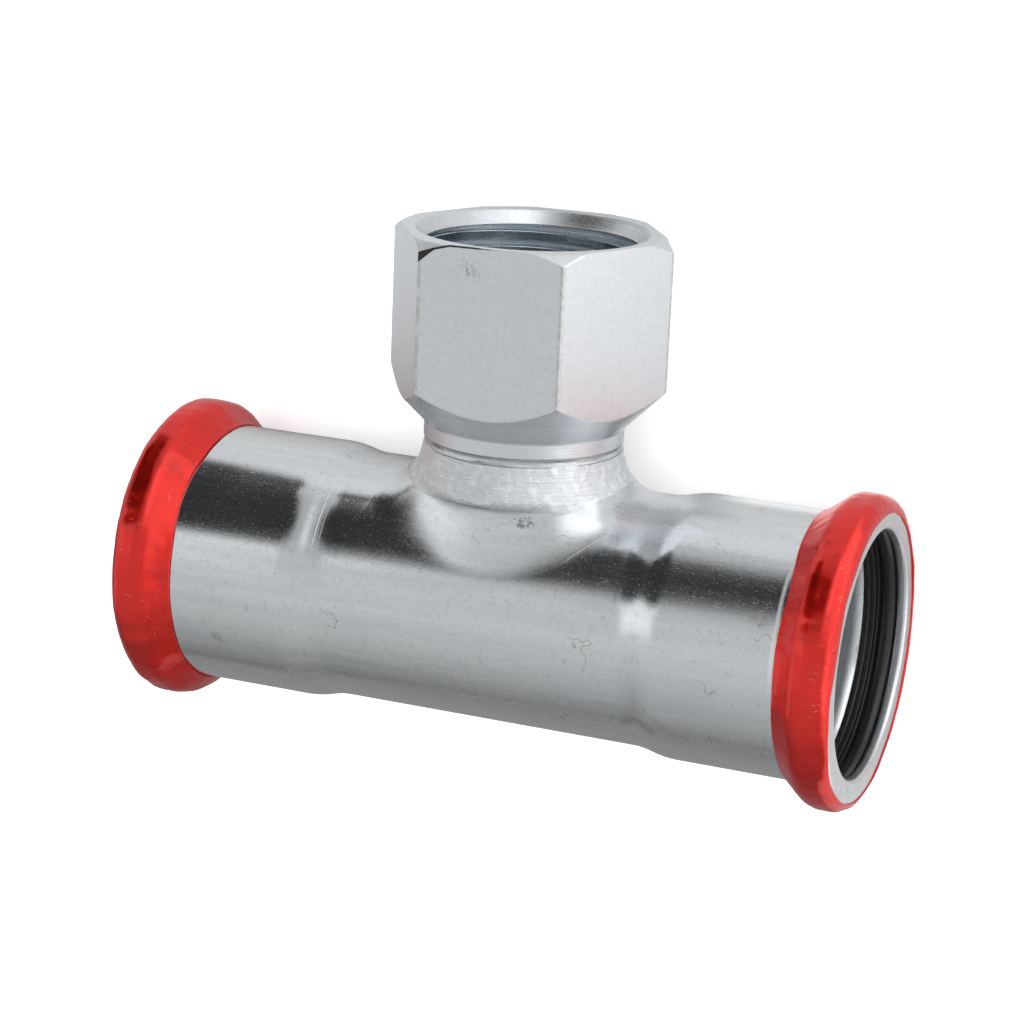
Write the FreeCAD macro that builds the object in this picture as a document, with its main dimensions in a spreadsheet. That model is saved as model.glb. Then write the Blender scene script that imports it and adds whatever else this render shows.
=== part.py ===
import FreeCAD, Part
import Sketcher
import math
import os

# Press tee with a female-threaded branch, in millimetres.
# Every piece is drawn in the fitting's own frame: X along the run, Z out along the branch,
# with the origin where the two axes cross. The assembly is then laid on its side to rest.

os.makedirs("parts", exist_ok=True)
doc = FreeCAD.newDocument("press_tee")
sizes = doc.addObject("Spreadsheet::Sheet", "sizes")

# Sizes that can be set one by one
DRIVING = [
    ("socket_bore", "35.6", "bore of each press socket"),
    ("wall", "1.5", "thickness of the tube"),
    ("insertion_depth", "25.5", "mouth to the stop of the pipe"),
    ("step_rise", "1", "radius of the socket over the middle tube"),
    ("step_length", "7", "length of the step from socket to middle tube"),
    ("middle_margin", "2.2", "plain tube between the collar's blend and the step"),
    ("bead_rise", "3.15", "radius of the rolled bead over the socket"),
    ("bead_front_radius", "2.2", "round from the front face to the crest"),
    ("bead_crest_width", "1.4", "flat crest of the bead"),
    ("bead_crown_radius", "3.2", "round behind the crest"),
    ("bead_root_radius", "1.8", "hollow round where the bead leaves the socket"),
    ("lip_round", "0.5", "round on the inner edge of the mouth"),
    ("branch_offset", "0.9", "branch axis to the right of the middle of the run"),
    ("collar_diameter", "28.8", "outside of the pulled collar"),
    ("collar_root_radius", "5", "blend between collar and run"),
    ("collar_land", "0.1", "straight end of the collar above the blend"),
    ("flare_rise", "1.5", "radius of the collar's flare over its end"),
    ("flare_length", "5.5", "end of the collar to the widest part of the flare"),
    ("flare_foot", "0.7", "height of the ledge under the flare"),
    ("weld_height", "1.1", "gap filled by the weld"),
    ("weld_hollow", "0.12", "how far the weld lies below a straight cone"),
    ("neck_proud", "0.1", "radius of the neck over the collar"),
    ("neck_ledge", "0.3", "step inwards from the collar's bore to the neck's"),
    ("neck_length", "2.3", "weld to the underside cone"),
    ("cone_angle", "45", "slope of the underside of the hexagon, degrees"),
    ("bar_length", "30.2", "length of the threaded socket"),
    ("bar_wall", "3", "thread bore to the flats of the hexagon"),
    ("hexagon_turn", "4", "corner turned away from the run, degrees"),
    ("corner_cut", "1.86", "depth of the chamfer at the corners"),
    ("chamfer_angle", "38", "slope of the corner chamfer, degrees"),
    ("thread_ledge", "2.55", "step outwards from the neck's bore to the thread's"),
    ("thread_depth", "19.2", "face to the end of the threaded bore"),
    ("bottom_angle", "30", "slope of the bottom of the threaded bore, degrees"),
    ("lead_in_rise", "1.55", "radius of the lead-in chamfer over the thread bore"),
    ("lead_in_depth", "2.2", "length of the lead-in chamfer"),
    ("film_clearance", "0.05", "space between the film and the metal"),
    ("film_thickness", "0.2", "wall of the shrunk film"),
    ("film_tail", "0.4", "film on the straight socket behind the bead"),
    ("film_lap", "0.25", "film on the flat of the front face"),
    ("seal_proud", "0.15", "round bead of the seal inside the socket's bore"),
    ("seal_clearance", "0.1", "space between the seal and the wall round it"),
    ("seal_bead_width", "2.6", "length of the round bead of the seal"),
    ("seal_groove_depth", "0.9", "groove between the round bead and the lip"),
    ("seal_groove_width", "0.6", "length of that groove"),
    ("seal_lip_width", "1.7", "length of the flat lip"),
    ("seal_lip_relief", "0.1", "how far the lip stands back from the round bead"),
    ("seal_crease", "0.15", "depth of the fine crease in the lip"),
]

# Sizes that follow from them
DERIVED = [
    ("socket_inner", "=socket_bore / 2"),
    ("socket_outer", "=socket_inner + wall"),
    ("run_outer", "=socket_outer - step_rise"),
    ("run_inner", "=run_outer - wall"),
    ("collar_outer", "=collar_diameter / 2"),
    ("collar_inner", "=collar_outer - wall"),
    ("collar_height", "=run_outer + collar_root_radius + collar_land"),
    ("collar_root_inner", "=collar_root_radius + wall"),
    ("collar_middle", "=(collar_outer + collar_inner) / 2"),
    ("flare_outer", "=collar_outer + flare_rise"),
    ("flare_wide", "=collar_height - flare_length"),
    ("flare_low", "=flare_wide - flare_foot"),
    ("flare_under", "=flare_outer - flare_foot"),
    ("step_x", "=branch_offset + collar_outer + collar_root_radius + middle_margin"),
    ("stop_x", "=step_x + step_length"),
    ("mouth_x", "=stop_x + insertion_depth"),
    ("step_mid_x", "=stop_x - step_length / 2"),
    ("step_mid_outer", "=(socket_outer + run_outer) / 2"),
    ("step_mid_inner", "=(socket_inner + run_inner) / 2"),
    ("step_radius", "=(step_length ^ 2 + step_rise ^ 2) / (4 * step_rise)"),
    ("step_radius_more", "=step_radius + wall"),
    ("step_radius_less", "=step_radius - wall"),
    ("bead_outer", "=socket_outer + bead_rise"),
    ("bead_inner", "=bead_outer - wall"),
    ("bead_rounds", "=bead_crown_radius + bead_root_radius"),
    ("bead_flank", "=sqrt(2 * bead_rise * bead_rounds - bead_rise ^ 2)"),
    ("crest_front_x", "=mouth_x - bead_front_radius"),
    ("crest_rear_x", "=crest_front_x - bead_crest_width"),
    ("root_x", "=crest_rear_x - bead_flank"),
    ("flank_x", "=root_x + bead_flank * bead_root_radius / bead_rounds"),
    ("flank_outer", "=socket_outer + bead_root_radius * (bead_rise / bead_rounds)"),
    ("root_radius_more", "=bead_root_radius + wall"),
    ("crown_radius_less", "=bead_crown_radius - wall"),
    ("flank_inner_x", "=root_x + bead_flank * root_radius_more / bead_rounds"),
    ("flank_inner", "=socket_inner + root_radius_more * (bead_rise / bead_rounds)"),
    ("face_outer", "=bead_outer - bead_front_radius"),
    ("flange_x", "=mouth_x - wall"),
    ("front_radius_less", "=bead_front_radius - wall"),
    ("lip_outer", "=socket_inner + lip_round"),
    ("lip_x", "=mouth_x - lip_round"),
    ("neck_bottom", "=collar_height + weld_height"),
    ("neck_outer", "=collar_outer + neck_proud"),
    ("neck_inner", "=collar_inner - neck_ledge"),
    ("cone_start", "=neck_bottom + neck_length"),
    ("thread_inner", "=neck_inner + thread_ledge"),
    ("hexagon_corner", "=(thread_inner + bar_wall) / cos(30deg)"),
    ("cut_outer", "=hexagon_corner + wall"),
    ("cone_end", "=cone_start + (cut_outer - neck_outer) * tan(cone_angle * 1deg)"),
    ("arm_length", "=neck_bottom + bar_length"),
    ("face_radius", "=hexagon_corner - corner_cut"),
    ("chamfer_foot", "=arm_length - (cut_outer - face_radius) * tan(chamfer_angle * 1deg)"),
    ("corner_end", "=arm_length - corner_cut * tan(chamfer_angle * 1deg)"),
    ("thread_end", "=arm_length - thread_depth"),
    ("bottom_end", "=thread_end - thread_ledge * tan(bottom_angle * 1deg)"),
    ("lead_in_outer", "=thread_inner + lead_in_rise"),
    ("lead_in_end", "=arm_length - lead_in_depth"),
    ("weld_chord", "=sqrt(weld_height ^ 2 + neck_proud ^ 2)"),
    ("weld_radius", "=(weld_chord ^ 2 / 4 + weld_hollow ^ 2) / (2 * weld_hollow)"),
    ("film_over", "=film_clearance + film_thickness"),
    ("film_rear_x", "=root_x - film_tail"),
    ("film_face_x", "=mouth_x + film_clearance"),
    ("film_front_x", "=mouth_x + film_over"),
    ("film_edge", "=face_outer - film_lap"),
    ("film_socket_inner", "=socket_outer + film_clearance"),
    ("film_socket_outer", "=socket_outer + film_over"),
    ("film_crest_inner", "=bead_outer + film_clearance"),
    ("film_crest_outer", "=bead_outer + film_over"),
    ("film_root_inner", "=bead_root_radius - film_clearance"),
    ("film_root_outer", "=bead_root_radius - film_over"),
    ("film_crown_inner", "=bead_crown_radius + film_clearance"),
    ("film_crown_outer", "=bead_crown_radius + film_over"),
    ("film_front_inner", "=bead_front_radius + film_clearance"),
    ("film_front_outer", "=bead_front_radius + film_over"),
    ("film_flank_inner_x", "=root_x + bead_flank * film_root_inner / bead_rounds"),
    ("film_flank_outer_x", "=root_x + bead_flank * film_root_outer / bead_rounds"),
    ("film_flank_inner", "=film_socket_inner + film_root_inner * (bead_rise / bead_rounds)"),
    ("film_flank_outer", "=film_socket_outer + film_root_outer * (bead_rise / bead_rounds)"),
    ("seal_inner", "=socket_inner - seal_proud"),
    ("seal_front_x", "=flange_x - seal_clearance"),
    ("seal_crest", "=bead_inner - seal_clearance"),
    ("seal_bead_radius", "=seal_bead_width / 2"),
    ("seal_shoulder", "=seal_inner + seal_bead_radius"),
    ("seal_bead_x", "=seal_front_x - seal_bead_width"),
    ("seal_middle_x", "=seal_front_x - seal_bead_radius"),
    ("seal_groove", "=seal_inner + seal_groove_depth"),
    ("seal_groove_x", "=seal_bead_x - seal_groove_width"),
    ("seal_lip", "=seal_inner + seal_lip_relief"),
    ("seal_crease_r", "=seal_lip + seal_crease"),
    ("seal_crease_x", "=seal_groove_x - seal_lip_width / 2"),
    ("seal_crease_front_x", "=seal_crease_x + seal_crease"),
    ("seal_crease_rear_x", "=seal_crease_x - seal_crease"),
    ("seal_rear_x", "=seal_groove_x - seal_lip_width"),
    ("seal_back_radius", "=root_radius_more + seal_clearance"),
    ("seal_rear", "=socket_inner + root_radius_more"
                  " - sqrt(seal_back_radius ^ 2 - (seal_rear_x - root_x) ^ 2)"),
    ("seal_back_x", "=root_x + bead_flank * seal_back_radius / bead_rounds"),
    ("seal_back", "=socket_inner + root_radius_more"
                  " - seal_back_radius * (1 - bead_rise / bead_rounds)"),
]

row = 0
for alias, value, meaning in DRIVING:
    row += 1
    sizes.set(f"A{row}", meaning)
    sizes.set(f"B{row}", value)
    sizes.setAlias(f"B{row}", alias)
for alias, formula in DERIVED:
    row += 1
    sizes.set(f"B{row}", formula)
    sizes.setAlias(f"B{row}", alias)
doc.recompute()


# The points of an edge by their order, and the outline's own origin and axes by number
START_ORDER = 1
END_ORDER = 2
MIDDLE_ORDER = 3
ORIGIN_NUMBER = -1
LEVEL_AXIS_NUMBER = -1
UPRIGHT_AXIS_NUMBER = -2
FULL_TURN = 360
HEXAGON_SIDES = 6
NEAR = 0.001


def size(alias):
    """The present value of one size in the sheet."""
    return float(sizes.get(alias))


def cell(alias):
    """The expression that ties a property or constraint to one size."""
    return f"<<sizes>>.{alias}"


def origin_feature(body, role):
    """A plane of the body's own origin."""
    return next(item for item in body.Origin.OriginFeatures if item.Role == role)


def sketch_on(body, role, name):
    """An empty sketch on one of the body's origin planes."""
    sketch = body.newObject("Sketcher::SketchObject", name)
    sketch.AttachmentSupport = [(origin_feature(body, role), "")]
    sketch.MapMode = "FlatFace"
    return sketch


def pin(sketch, kind, edge, end, alias):
    """Hold one end of an edge on an axis, or at a distance from it named in the sheet."""
    if alias is None:
        axis = UPRIGHT_AXIS_NUMBER if kind == "DistanceX" else LEVEL_AXIS_NUMBER
        sketch.addConstraint(Sketcher.Constraint("PointOnObject", edge, end, axis))
        return
    held = sketch.addConstraint(Sketcher.Constraint(kind, ORIGIN_NUMBER, START_ORDER, edge, end, size(alias)))
    sketch.setExpression(f"Constraints[{held}]", cell(alias))


def hold_radius(sketch, edge, alias):
    """Give an arc or circle a radius named in the sheet."""
    held = sketch.addConstraint(Sketcher.Constraint("Radius", edge, size(alias)))
    sketch.setExpression(f"Constraints[{held}]", cell(alias))


def arc_centre(first, last, radius, bend):
    """Centre of the short arc from first to last, which turns left for a bend of 1."""
    chord = last - first
    height = math.sqrt(max(radius ** 2 - (chord.Length / 2) ** 2, 0))
    side = FreeCAD.Vector(-chord.y, chord.x, 0).normalize() * bend
    return (first + last) * 0.5 + side * height


def outline(body, role, name, corners):
    """A closed outline. Each corner is (across, along) by size name, None for the axis.

    A corner may add (radius, bend): the edge that arrives there is then an arc of that
    radius, which turns left for a bend of 1 and right for a bend of -1.
    """
    sketch = sketch_on(body, role, name)
    places = []
    for corner in corners:
        across = 0 if corner[0] is None else size(corner[0])
        along = 0 if corner[1] is None else size(corner[1])
        places.append(FreeCAD.Vector(across, along, 0))
    ends = []
    for index, corner in enumerate(corners):
        first = places[index - 1]
        last = places[index]
        if len(corner) == 2:
            edge = sketch.addGeometry(Part.LineSegment(first, last), False)
            ends.append((edge, START_ORDER, END_ORDER))
            continue
        radius, bend = corner[2], corner[3]
        centre = arc_centre(first, last, size(radius), bend)
        from_angle = math.atan2(first.y - centre.y, first.x - centre.x)
        to_angle = math.atan2(last.y - centre.y, last.x - centre.x)
        if bend < 0:
            from_angle, to_angle = to_angle, from_angle
        circle = Part.Circle(centre, FreeCAD.Vector(0, 0, 1), size(radius))
        edge = sketch.addGeometry(Part.ArcOfCircle(circle, from_angle, to_angle), False)
        ends.append((edge, START_ORDER, END_ORDER) if bend > 0 else (edge, END_ORDER, START_ORDER))
    for index, (edge, _, last_end) in enumerate(ends):
        before, _, before_end = ends[index - 1]
        first_end = START_ORDER if last_end == END_ORDER else END_ORDER
        sketch.addConstraint(Sketcher.Constraint("Coincident", before, before_end, edge, first_end))
        corner = corners[index]
        pin(sketch, "DistanceX", edge, last_end, corner[0])
        pin(sketch, "DistanceY", edge, last_end, corner[1])
        if len(corner) > 2:
            hold_radius(sketch, edge, corner[2])
    return sketch


def turned(body, kind, name, sketch, axis):
    """A full turn of the sketch about one of its own axes, added or cut away."""
    feature = body.newObject(kind, name)
    feature.Profile = sketch
    feature.ReferenceAxis = (sketch, [axis])
    feature.Angle = FULL_TURN
    sketch.Visibility = False
    return feature


def mirrored(body, name, feature):
    """The same feature again on the other side of the branch."""
    copy = body.newObject("PartDesign::Mirrored", name)
    copy.Originals = [feature]
    copy.MirrorPlane = (origin_feature(body, "YZ_Plane"), [""])
    body.Tip = copy
    return copy


def branch_circle(body, name, radius):
    """A sketched circle about the branch axis, seen along it."""
    sketch = sketch_on(body, "XY_Plane", name)
    centre = FreeCAD.Vector(size("branch_offset"), 0, 0)
    edge = sketch.addGeometry(Part.Circle(centre, FreeCAD.Vector(0, 0, 1), size(radius)), False)
    pin(sketch, "DistanceX", edge, MIDDLE_ORDER, "branch_offset")
    pin(sketch, "DistanceY", edge, MIDDLE_ORDER, None)
    hold_radius(sketch, edge, radius)
    return sketch


def seam_edges(shape, run_radius, branch_radius):
    """Names of the edges where the cylinder of the run meets the cylinder of the branch."""
    walls = (("run", FreeCAD.Vector(1, 0, 0), run_radius),
             ("branch", FreeCAD.Vector(0, 0, 1), branch_radius))
    found = []
    for number, edge in enumerate(shape.Edges, 1):
        met = set()
        for face in shape.ancestorsOfType(edge, Part.Face):
            if not isinstance(face.Surface, Part.Cylinder):
                continue
            for tube, axis, radius in walls:
                parallel = face.Surface.Axis.cross(axis).Length < NEAR
                if parallel and abs(face.Surface.Radius - radius) < NEAR:
                    met.add(tube)
        if met == {"run", "branch"}:
            found.append(f"Edge{number}")
    return found


# The tee body is one piece of tube. Both ends are widened to sockets, each mouth is rolled
# out to a hollow bead with an inward lip, and the collar is pulled out of the wall. The die
# leaves a low flare round the collar, with a ledge under it on the two open sides.
tee = doc.addObject("PartDesign::Body", "tee_body")
tee.Label = "tee_body"
outside = outline(tee, "XY_Plane", "run_outside", [
    (None, None),
    ("mouth_x", None),
    ("mouth_x", "face_outer"),
    ("crest_front_x", "bead_outer", "bead_front_radius", 1),
    ("crest_rear_x", "bead_outer"),
    ("flank_x", "flank_outer", "bead_crown_radius", 1),
    ("root_x", "socket_outer", "bead_root_radius", -1),
    ("stop_x", "socket_outer"),
    ("step_mid_x", "step_mid_outer", "step_radius", 1),
    ("step_x", "run_outer", "step_radius", -1),
    (None, "run_outer"),
])
solid_run = turned(tee, "PartDesign::Revolution", "solid_run", outside, "H_Axis")
doc.recompute()
solid_run_both = mirrored(tee, "solid_run_both", solid_run)
doc.recompute()

collar = tee.newObject("PartDesign::Pad", "collar")
collar.Profile = branch_circle(tee, "collar_outside", "collar_outer")
collar.setExpression("Length", cell("collar_height"))
doc.recompute()

collar_root = tee.newObject("PartDesign::Fillet", "collar_root")
collar_root.Base = (collar, seam_edges(collar.Shape, size("run_outer"), size("collar_outer")))
collar_root.setExpression("Radius", cell("collar_root_radius"))
doc.recompute()

flare_section = outline(tee, "XZ_Plane", "flare_section", [
    ("collar_middle", "flare_low"),
    ("flare_under", "flare_low"),
    ("flare_outer", "flare_wide"),
    ("collar_outer", "collar_height"),
    ("collar_middle", "collar_height"),
])
flare_section.setExpression("AttachmentOffset.Base.x", cell("branch_offset"))
flare = turned(tee, "PartDesign::Revolution", "collar_flare", flare_section, "V_Axis")
doc.recompute()

inside = outline(tee, "XY_Plane", "run_inside", [
    (None, None),
    ("mouth_x", None),
    ("mouth_x", "lip_outer"),
    ("lip_x", "socket_inner", "lip_round", 1),
    ("flange_x", "socket_inner"),
    ("flange_x", "face_outer"),
    ("crest_front_x", "bead_inner", "front_radius_less", 1),
    ("crest_rear_x", "bead_inner"),
    ("flank_inner_x", "flank_inner", "crown_radius_less", 1),
    ("root_x", "socket_inner", "root_radius_more", -1),
    ("stop_x", "socket_inner"),
    ("step_mid_x", "step_mid_inner", "step_radius_less", 1),
    ("step_x", "run_inner", "step_radius_more", -1),
    (None, "run_inner"),
])
bored_run = turned(tee, "PartDesign::Groove", "bored_run", inside, "H_Axis")
doc.recompute()
bored_run_both = mirrored(tee, "bored_run_both", bored_run)
doc.recompute()

branch_bore = tee.newObject("PartDesign::Pocket", "branch_bore")
branch_bore.Profile = branch_circle(tee, "branch_inside", "collar_inner")
branch_bore.Reversed = True
branch_bore.setExpression("Length", cell("collar_height"))
doc.recompute()

branch_root = tee.newObject("PartDesign::Fillet", "branch_root")
branch_root.Base = (branch_bore, seam_edges(branch_bore.Shape, size("run_inner"), size("collar_inner")))
branch_root.setExpression("Radius", cell("collar_root_inner"))
tee.Tip = branch_root
doc.recompute()

# The threaded socket is turned from hexagon bar: neck and underside cone at the bottom,
# chamfered corners at the face, a stepped bore with a lead-in chamfer.
socket = doc.addObject("PartDesign::Body", "threaded_socket")
socket.Label = "threaded_socket"
hexagon = sketch_on(socket, "XY_Plane", "hexagon")
hexagon.setExpression("AttachmentOffset.Base.z", cell("neck_bottom"))
centre = FreeCAD.Vector(0, 0, 0)
corners = []
for step in range(HEXAGON_SIDES):
    angle = math.radians(size("hexagon_turn") + step * FULL_TURN / HEXAGON_SIDES)
    corners.append(FreeCAD.Vector(math.cos(angle), math.sin(angle), 0) * size("hexagon_corner"))
round_guide = hexagon.addGeometry(
    Part.Circle(centre, FreeCAD.Vector(0, 0, 1), size("hexagon_corner")), True)
corner_guide = hexagon.addGeometry(Part.LineSegment(centre, corners[0]), True)
sides = []
for step in range(HEXAGON_SIDES):
    sides.append(hexagon.addGeometry(Part.LineSegment(corners[step - 1], corners[step]), False))
hexagon.addConstraint(Sketcher.Constraint("Coincident", round_guide, MIDDLE_ORDER, ORIGIN_NUMBER, START_ORDER))
hexagon.addConstraint(Sketcher.Constraint("Coincident", corner_guide, START_ORDER, ORIGIN_NUMBER, START_ORDER))
hexagon.addConstraint(Sketcher.Constraint("Coincident", corner_guide, END_ORDER, sides[0], END_ORDER))
for step in range(HEXAGON_SIDES):
    hexagon.addConstraint(Sketcher.Constraint("Coincident", sides[step - 1], END_ORDER, sides[step], START_ORDER))
    hexagon.addConstraint(Sketcher.Constraint("PointOnObject", sides[step], END_ORDER, round_guide))
for side in sides[1:]:
    hexagon.addConstraint(Sketcher.Constraint("Equal", sides[0], side))
hold_radius(hexagon, round_guide, "hexagon_corner")
turn = math.radians(size("hexagon_turn"))
corner_angle = hexagon.addConstraint(Sketcher.Constraint("Angle", corner_guide, turn))
hexagon.setExpression(f"Constraints[{corner_angle}]", cell("hexagon_turn") + " * 1deg")

bar = socket.newObject("PartDesign::Pad", "hexagon_bar")
bar.Profile = hexagon
bar.setExpression("Length", cell("bar_length"))
doc.recompute()

neck_cut = outline(socket, "XZ_Plane", "neck_and_cone", [
    ("neck_outer", "neck_bottom"),
    ("cut_outer", "neck_bottom"),
    ("cut_outer", "cone_end"),
    ("neck_outer", "cone_start"),
])
neck = turned(socket, "PartDesign::Groove", "neck", neck_cut, "V_Axis")
doc.recompute()

chamfer_cut = outline(socket, "XZ_Plane", "corner_chamfer", [
    ("face_radius", "arm_length"),
    ("cut_outer", "chamfer_foot"),
    ("cut_outer", "arm_length"),
])
chamfered = turned(socket, "PartDesign::Groove", "chamfered", chamfer_cut, "V_Axis")
doc.recompute()

bore_cut = outline(socket, "XZ_Plane", "stepped_bore", [
    (None, "neck_bottom"),
    ("neck_inner", "neck_bottom"),
    ("neck_inner", "bottom_end"),
    ("thread_inner", "thread_end"),
    ("thread_inner", "lead_in_end"),
    ("lead_in_outer", "arm_length"),
    (None, "arm_length"),
])
socket.Tip = turned(socket, "PartDesign::Groove", "bored", bore_cut, "V_Axis")
doc.recompute()

# The weld fills the gap between the collar's end and the neck, all the way round. It is
# drawn about the branch axis, like the threaded socket.
weld = doc.addObject("PartDesign::Body", "weld_seam")
weld.Label = "weld_seam"
weld_section = outline(weld, "XZ_Plane", "weld_section", [
    ("collar_inner", "collar_height"),
    ("collar_outer", "collar_height"),
    ("neck_outer", "neck_bottom", "weld_radius", -1),
    ("neck_inner", "neck_bottom"),
])
weld.Tip = turned(weld, "PartDesign::Revolution", "weld_ring", weld_section, "V_Axis")
doc.recompute()


def indicator_film(name):
    """A thin sleeve shrunk over the bead: behind it on the socket, in front onto the face."""
    film = doc.addObject("PartDesign::Body", name)
    film.Label = name
    section = outline(film, "XY_Plane", name + "_section", [
        ("film_rear_x", "film_socket_inner"),
        ("root_x", "film_socket_inner"),
        ("film_flank_inner_x", "film_flank_inner", "film_root_inner", 1),
        ("crest_rear_x", "film_crest_inner", "film_crown_inner", -1),
        ("crest_front_x", "film_crest_inner"),
        ("film_face_x", "face_outer", "film_front_inner", -1),
        ("film_face_x", "film_edge"),
        ("film_front_x", "film_edge"),
        ("film_front_x", "face_outer"),
        ("crest_front_x", "film_crest_outer", "film_front_outer", 1),
        ("crest_rear_x", "film_crest_outer"),
        ("film_flank_outer_x", "film_flank_outer", "film_crown_outer", 1),
        ("root_x", "film_socket_outer", "film_root_outer", -1),
        ("film_rear_x", "film_socket_outer"),
    ])
    film.Tip = turned(film, "PartDesign::Revolution", name + "_sleeve", section, "H_Axis")
    return film


def seal_ring(name):
    """A rubber ring in the bead: a round bead at the mouth, a groove and a creased lip."""
    seal = doc.addObject("PartDesign::Body", name)
    seal.Label = name
    section = outline(seal, "XY_Plane", name + "_section", [
        ("seal_front_x", "seal_shoulder", "seal_bead_radius", 1),
        ("seal_front_x", "face_outer"),
        ("crest_front_x", "seal_crest"),
        ("crest_rear_x", "seal_crest"),
        ("seal_back_x", "seal_back"),
        ("seal_rear_x", "seal_rear", "seal_back_radius", -1),
        ("seal_rear_x", "seal_lip"),
        ("seal_crease_rear_x", "seal_lip"),
        ("seal_crease_x", "seal_crease_r"),
        ("seal_crease_front_x", "seal_lip"),
        ("seal_groove_x", "seal_lip"),
        ("seal_groove_x", "seal_groove"),
        ("seal_bead_x", "seal_shoulder"),
        ("seal_middle_x", "seal_inner", "seal_bead_radius", 1),
    ])
    seal.Tip = turned(seal, "PartDesign::Revolution", name + "_ring", section, "H_Axis")
    return seal


film_right = indicator_film("indicator_film_right")
film_left = indicator_film("indicator_film_left")
seal_right = seal_ring("seal_ring_right")
seal_left = seal_ring("seal_ring_left")
doc.recompute()

# Nothing holds a loose tee upright. It lies on both beads and on the lower corner of the
# hexagon, so the branch dips from level by the angle that brings that corner down.
lower_corner = max(corner.y for corner in corners)
reach = math.hypot(lower_corner, size("corner_end"))
dip = math.asin(size("film_crest_outer") / reach) - math.atan2(lower_corner, size("corner_end"))
on_its_side = -FULL_TURN / 4 - math.degrees(dip)
lying = FreeCAD.Placement(centre, FreeCAD.Rotation(FreeCAD.Vector(1, 0, 0), on_its_side))
other_end = FreeCAD.Placement(centre, FreeCAD.Rotation(FreeCAD.Vector(0, 0, 1), FULL_TURN / 2))
on_branch = FreeCAD.Placement(FreeCAD.Vector(size("branch_offset"), 0, 0), FreeCAD.Rotation())
everything = Part.makeCompound([socket.Shape, film_right.Shape]).transformed(lying.toMatrix())
extent = everything.optimalBoundingBox(False, False)
lying.Base = FreeCAD.Vector(0, -(extent.YMin + extent.YMax) / 2, size("film_crest_outer"))
for piece in (tee, film_right, seal_right):
    piece.Placement = lying
for piece in (socket, weld):
    piece.Placement = lying.multiply(on_branch)
for piece in (film_left, seal_left):
    piece.Placement = lying.multiply(other_end)
doc.recompute()

pieces = (tee, socket, weld, film_left, film_right, seal_left, seal_right)
for item in doc.Objects:
    if "Invalid" in item.State or "Error" in item.State:
        raise RuntimeError(f"{item.Label} did not compute: {item.State}")
for piece in pieces:
    if piece.Shape.isNull() or not piece.Shape.isValid() or len(piece.Shape.Solids) != 1:
        raise RuntimeError(f"{piece.Label} is not one valid solid")
for piece in pieces:
    piece.Shape.exportStep(f"parts/{piece.Label}.step")
    print(piece.Label, round(piece.Shape.Volume, 1))
print("dip", round(math.degrees(dip), 3), "base", lying.Base)
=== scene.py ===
import math
import bmesh
import bpy
import numpy as np
from mathutils import Matrix, Vector, noise


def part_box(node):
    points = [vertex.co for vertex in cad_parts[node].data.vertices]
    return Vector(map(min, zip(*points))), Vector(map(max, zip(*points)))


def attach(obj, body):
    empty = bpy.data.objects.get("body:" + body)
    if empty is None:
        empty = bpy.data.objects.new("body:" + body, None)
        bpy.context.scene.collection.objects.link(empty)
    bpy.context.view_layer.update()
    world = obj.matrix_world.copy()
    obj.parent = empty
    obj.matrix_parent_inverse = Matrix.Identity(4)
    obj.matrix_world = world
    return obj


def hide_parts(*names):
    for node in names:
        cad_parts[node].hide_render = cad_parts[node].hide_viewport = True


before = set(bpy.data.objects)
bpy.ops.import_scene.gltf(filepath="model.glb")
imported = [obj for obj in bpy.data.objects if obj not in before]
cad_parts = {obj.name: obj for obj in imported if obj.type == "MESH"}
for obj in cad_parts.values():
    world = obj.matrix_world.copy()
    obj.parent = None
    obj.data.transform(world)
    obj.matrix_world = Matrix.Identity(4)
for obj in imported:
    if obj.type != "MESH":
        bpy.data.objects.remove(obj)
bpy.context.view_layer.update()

# Tee body. One piece of steel tube, zinc plated: widened to a press socket at each end,
# with the mouths rolled out to hollow beads and a collar pulled out of the middle. The die
# leaves a low flare round the collar, which is brushed where the weld was dressed.

MM = 0.001
DEGREES = 180 / math.pi
DIP = math.radians(4.2162)
film_low, film_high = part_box("indicator_film_right")
RUN_AXIS = Vector((0, (film_low[1] + film_high[1]) / 2, (film_low[2] + film_high[2]) / 2))
AROUND = 240
SOCKET, RUN, WALL = 19.3, 18.3, 1.5
STEP_FROM, STEP_TO, STEP_ROUND = 22.5, 29.5, 12.5
BEAD_FROM, BEAD_FOOT, CROWN = 46.755, 1.8, 22.45
SHOULDER_AT, SHOULDER, LIP_AT, LIP = 51.4, 3.2, 52.8, 2.2
MOUTH, MOUTH_ROUND = 55.0, 0.7
BRANCH_X, COLLAR, COLLAR_END = 0.9, 14.4, 23.4
BLEND, WIDE_BLEND = 5.0, 24.0
FLARE, FLARE_AT, FLARE_FOOT, FLARE_SLOPE, FLARE_SOFT = 1.5, 17.9, 15.5, 1.6, 0.35
WINDOW_LOW, WINDOW_HIGH, WINDOW_STEPS, WINDOW_TURN = -20.4, 22.2, 40, 48


def lay(points):
    """Places in metres, with the tee on its side, of points in the fitting's own millimetres.

    In the fitting's own frame X is the run and Z the branch, and they cross at the origin.
    """
    x, y, z = np.asarray(points, float).T
    level = z * math.cos(DIP) - y * math.sin(DIP)
    height = -y * math.cos(DIP) - z * math.sin(DIP)
    return np.stack([x * MM, level * MM + RUN_AXIS.y, height * MM + RUN_AXIS.z], -1)


def arc(centre_x, centre_r, radius, start, stop, steps):
    """Points of an arc in the (along, out) plane, from one angle to another in degrees."""
    turn = np.radians(np.linspace(start, stop, steps + 1))
    return np.stack([centre_x + radius * np.cos(turn), centre_r + radius * np.sin(turn)], -1)


def line(first, last, steps):
    """Evenly spaced points from one place to another."""
    return np.linspace(first, last, steps + 1)


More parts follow.
